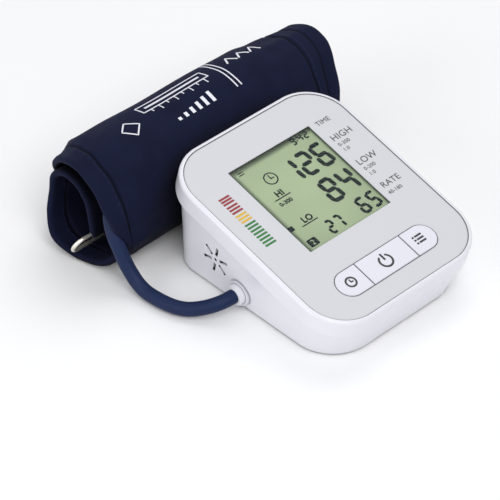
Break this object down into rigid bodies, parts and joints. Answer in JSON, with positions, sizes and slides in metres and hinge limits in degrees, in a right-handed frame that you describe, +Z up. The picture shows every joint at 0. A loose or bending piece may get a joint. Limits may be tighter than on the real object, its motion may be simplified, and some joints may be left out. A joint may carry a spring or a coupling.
{
  "type": "blood pressure monitor",
  "caption": "Desktop arm blood pressure monitor with a tilted white case, green display, three buttons, a rolled navy arm cuff and its air hose.",
  "frame": {"origin": "middle of the footprint of monitor and rolled cuff together, on the table", "axes": "+X to the user's right along the cuff, +Y from the user's side to the back, +Z up"},
  "size_m": [0.1468, 0.1602, 0.057],
  "materials": {
    "white_gloss": "gloss",
    "plate_grey": "satin",
    "button_white": "satin",
    "door_white": "satin",
    "clear_cover": "gloss",
    "display_glass": "satin",
    "tray_white": "matte",
    "black_rubber": "matte",
    "board_green": "satin",
    "black_plastic": "satin",
    "switch_plastic": "satin",
    "plain_steel": "satin",
    "tube_silicone": "satin",
    "cell_wrap": "gloss",
    "cuff_nylon": "matte",
    "bladder_rubber": "matte",
    "hook_tape": "matte",
    "hose_navy": "satin"
  },
  "bodies": {
    "monitor": {"upper_case": "white_gloss", "lower_case": "white_gloss", "face_plate": "plate_grey", "display_cover": "clear_cover", "display_glass": "display_glass", "display_tray": "tray_white", "contact_strips": "black_rubber", "rubber_feet": "black_rubber", "main_board": "board_green", "socket_board": "board_green", "switch_bodies": "black_plastic", "board_chips": "black_plastic", "valve_coil": "black_plastic", "speaker_cone": "black_plastic", "pressure_sensor": "switch_plastic", "air_manifold": "switch_plastic", "air_socket": "switch_plastic", "pump_head": "switch_plastic", "board_screws": "plain_steel", "case_screws": "plain_steel", "release_valve": "plain_steel", "pump_motor": "plain_steel", "speaker": "plain_steel", "power_socket": "plain_steel", "battery_contacts": "plain_steel", "socket_tube": "tube_silicone", "valve_tube": "tube_silicone", "pump_tube": "tube_silicone", "sensor_tube": "tube_silicone", "battery_cells": "cell_wrap"},
    "set_button": {"set_button": "button_white", "set_switch_plunger": "switch_plastic"},
    "power_button": {"power_button": "button_white", "power_switch_plunger": "switch_plastic"},
    "memory_button": {"memory_button": "button_white", "memory_switch_plunger": "switch_plastic"},
    "battery_door": {"battery_door": "door_white"},
    "cuff_with_hose": {"cuff_wrap": "cuff_nylon", "cuff_bladder": "bladder_rubber", "hook_patch": "hook_tape", "bladder_fitting": "bladder_rubber", "air_hose": "hose_navy", "air_plug": "switch_plastic", "plug_seal": "black_rubber"},
    "cuff_ring": {"cuff_ring": "plain_steel"}
  },
  "joints": [
    {"name": "set_button_press", "type": "slide", "parent": "monitor", "child": "set_button", "axis": [0, 0.2504, -0.9681], "range_m": [0, 0.0006], "stiffness_N_per_m": 1600, "springref_m": -0.0005},
    {"name": "power_button_press", "type": "slide", "parent": "monitor", "child": "power_button", "axis": [0, 0.2504, -0.9681], "range_m": [0, 0.0006], "stiffness_N_per_m": 1600, "springref_m": -0.0005},
    {"name": "memory_button_press", "type": "slide", "parent": "monitor", "child": "memory_button", "axis": [0, 0.2504, -0.9681], "range_m": [0, 0.0006], "stiffness_N_per_m": 1600, "springref_m": -0.0005},
    {"name": "battery_door_swing", "type": "hinge", "parent": "monitor", "child": "battery_door", "pos_m": [0.005, -0.0102, 0.0006], "axis": [1, 0, 0], "range_deg": [0, 70]},
    {"name": "air_plug_pull", "type": "slide", "parent": "monitor", "child": "cuff_with_hose", "axis": [-1, 0, 0], "range_m": [0, 0.012]},
    {"name": "cuff_ring_swing", "type": "hinge", "parent": "cuff_with_hose", "child": "cuff_ring", "pos_m": [0, 0.0491, 0.0157], "axis": [1, 0, 0], "range_deg": [-38, 30]}
  ]
}
